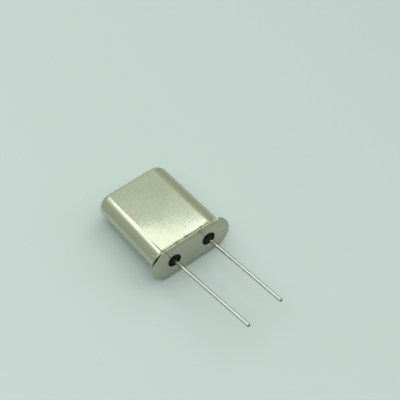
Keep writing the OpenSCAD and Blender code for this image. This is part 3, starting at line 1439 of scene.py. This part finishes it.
@dataclass(frozen=True)
class Studio:
    """Floor, surroundings, soft boxes and cards."""

    floor: str = "#bdc8c5"
    floor_roughness: float = 0.9
    floor_specular: float = 0.1
    floor_size: float = 4.0
    # Painted light on the board, by x: two x and the two shares of its tone. The slow fall over
    # the whole board is a painted falloff of the light to the right, and the falls on the left
    # and the right, which only the pieces see, are painted shade.
    slope: tuple[float, float, float, float] = (-30.0, 50.0, 1.08, 0.92)
    left_painted_shade: tuple[float, float, float, float] = (-7.0, -16.0, 1.0, 0.64)
    right_painted_shade: tuple[float, float, float, float] = (4.5, 9.0, 1.0, 0.82)
    horizon: str = "#c5d5ce"
    # The surroundings from the horizon to overhead: sine of the height, and radiance. Dim
    # walls, then the soft edge of a large diffuser above, which hangs a little to the left.
    sky: tuple[tuple[float, Triple], ...] = (
        (0.00, (0.40, 0.46, 0.37)),
        (0.45, (0.44, 0.50, 0.41)),
        (0.60, (0.50, 0.56, 0.47)),
        (0.66, (0.59, 0.67, 0.61)),
        (0.69, (0.72, 0.84, 0.78)),
        (0.705, (0.80, 0.92, 0.85)),
        (0.716, (1.48, 1.57, 1.54)),
        (1.00, (1.50, 1.60, 1.60)),
    )
    lean: float = -0.04
    # The share of the surroundings' light that the matt surfaces get; the boxes give the rest.
    matt_share: float = 0.8
    boxes: tuple[SoftBox, ...] = (
        SoftBox("right_box", 75.0, 35.0, 2.38),
        SoftBox("front_box", 125.0, 30.0, 1.72, mirrored=False),
        SoftBox("far_box", 0.0, 25.0, 1.26, mirrored=False),
    )
    cards: tuple[Card, ...] = (
        Card("camera_body", 208.5, 49.0, 17.5, 11.0, (0.12, 0.13, 0.12)),
        Card("low_card", 211.0, 12.0, 75.0, 12.4, (0.28, 0.31, 0.27), 0.32),
        Card("diffuser_dip", 11.0, 40.0, 16.0, 8.0, (0.63, 0.73, 0.66), 0.28),
        Card("diffuser_gap", -5.0, 56.0, 12.0, 5.6, (0.35, 0.38, 0.35), 0.26),
        Card("diffuser_end", 42.0, 47.5, 12.0, 6.5, (1.45, 1.55, 1.52), 0.27),
        Card("diffuser_left", -12.0, 38.8, 9.0, 5.8, (0.62, 0.69, 0.61), 0.29),
        Card("diffuser_foot", 20.0, 44.5, 4.5, 1.6, (0.72, 0.82, 0.74), 0.25),
        Card("diffuser_hem", 20.6, 46.3, 2.6, 0.9, (1.45, 1.55, 1.50), 0.24),
        Card("diffuser_tip", 29.5, 47.3, 3.2, 1.3, (1.68, 1.82, 1.95), 0.23),
        Card("far_wall", 15.0, 14.0, 22.0, 24.0, (0.62, 0.68, 0.59), 0.31),
    )

    def floor_tone_with_painted_shade(self, tree: Tree) -> Socket:
        """Gives the floor's colour: its tone times the painted falloff of the slope and, for the
        pieces, the painted shade of the falls.

        Args:
            tree: Tree of the floor's material.

        Returns:
            The colour.
        """
        place = add_node(tree, "ShaderNodeTexCoord").outputs["Object"]
        across = add_node(tree, "ShaderNodeSeparateXYZ", {0: place}).outputs["X"]
        # Painted falloff over the whole board, and painted shade on the left and the right for
        # the pieces.
        painted_falloff, left, right = (add_node(tree, "ShaderNodeMapRange", {
            "Value": across, "From Min": near * MM, "From Max": far * MM,
            "To Min": first, "To Max": last,
        }).outputs["Result"] for near, far, first, last in (
            self.slope, self.left_painted_shade, self.right_painted_shade))
        seen = add_node(tree, "ShaderNodeLightPath").outputs["Is Camera Ray"]
        mirrored = add_node(tree, "ShaderNodeMath", {0: left, 1: right}, operation="MULTIPLY")
        share = add_node(tree, "ShaderNodeMath", {0: mirrored.outputs[0], 1: seen},
                         operation="MAXIMUM")
        whole = add_node(tree, "ShaderNodeMath", {0: share.outputs[0], 1: painted_falloff},
                         operation="MULTIPLY")
        return add_node(tree, "ShaderNodeVectorMath", {
            0: linear(self.floor)[:3], "Scale": whole.outputs[0],
        }, operation="SCALE").outputs["Vector"]

    def lay_floor(self) -> bpy.types.Object:
        """Lays the pale matt board that the unit rests on.

        Returns:
            The board.
        """
        half, level = self.floor_size / 2, cad_box[0].z
        mesh = bpy.data.meshes.new("floor")
        mesh.from_pydata([(-half, -half, level), (half, -half, level), (half, half, level),
                          (-half, half, level)], [], [(0, 1, 2, 3)])
        material, tree = Finish(name="Pale matt board").start()
        mesh.materials.append(Finish.complete(material, {
            "Base Color": self.floor_tone_with_painted_shade(tree), "Roughness": self.floor_roughness,
            "Specular IOR Level": self.floor_specular}))
        floor = put_in_scene("floor", mesh)
        return floor

    def surround(self) -> bpy.types.World:
        """Sets the light that comes from all round, by height, and the pale backdrop.

        Returns:
            The world.
        """
        world = bpy.data.worlds.new("studio")
        bpy.context.scene.world = world
        world.use_nodes = True
        tree = world.node_tree
        tree.nodes.clear()
        way = add_node(tree, "ShaderNodeTexCoord").outputs["Generated"]
        height = add_node(tree, "ShaderNodeVectorMath", {
            0: way, 1: (self.lean, 0, 1)}, operation="DOT_PRODUCT")
        ramp = add_node(tree, "ShaderNodeValToRGB", {"Fac": height.outputs["Value"]})
        stops = ramp.color_ramp.elements
        for stop, (place, light) in zip(
                [stops[0], *(stops.new(0.5) for _ in self.sky[1:-1]), stops[-1]], self.sky):
            stop.position, stop.color = place, (*light, 1.0)
        path = add_node(tree, "ShaderNodeLightPath")
        colour = add_node(tree, "ShaderNodeMix", {
            "Factor": path.outputs["Is Camera Ray"], MIX_A: ramp.outputs["Color"],
            MIX_B: linear(self.horizon)}, data_type="RGBA")
        strength = add_node(tree, "ShaderNodeMapRange", {
            "Value": path.outputs["Is Glossy Ray"], "To Min": self.matt_share, "To Max": 1.0})
        light = add_node(tree, "ShaderNodeBackground", {
            "Color": colour.outputs[MIX_RESULT], "Strength": strength.outputs["Result"]})
        add_node(tree, "ShaderNodeOutputWorld", {"Surface": light.outputs[0]})
        return world

    def build(self) -> None:
        """Sets up the whole studio."""
        self.lay_floor()
        self.surround()
        for box in self.boxes:
            box.hang()
        for card in self.cards:
            card.hold()
        bpy.context.scene.view_settings.view_transform = "Standard"


def main() -> None:
    """Builds the studio, then each piece of the unit, and dresses it."""
    logging.basicConfig(level=logging.INFO, format="%(message)s", stream=sys.stdout)
    lay = Lay.from_frame()
    Viewpoint().build()
    Studio().build()

    can = DrawnCan.from_frame(lay)
    can.dress(can.build(lay), lay)
    base = HeaderBase.from_frame(lay)
    base.dress(base.build(lay), lay)
    glass = SealGlass(name="Fired black sealing glass").material()
    wire = PlatedWire(name="Bright plate on drawn wire").material()
    for side in Side:
        seal = GlassSeal.from_frame(side, lay)
        seal.dress(seal.build(lay), glass)
        lead = WireLead.from_frame(side, lay)
        lead.dress(lead.build(lay), wire)
    Resonator().dress()


if __name__ == "__main__":
    main()
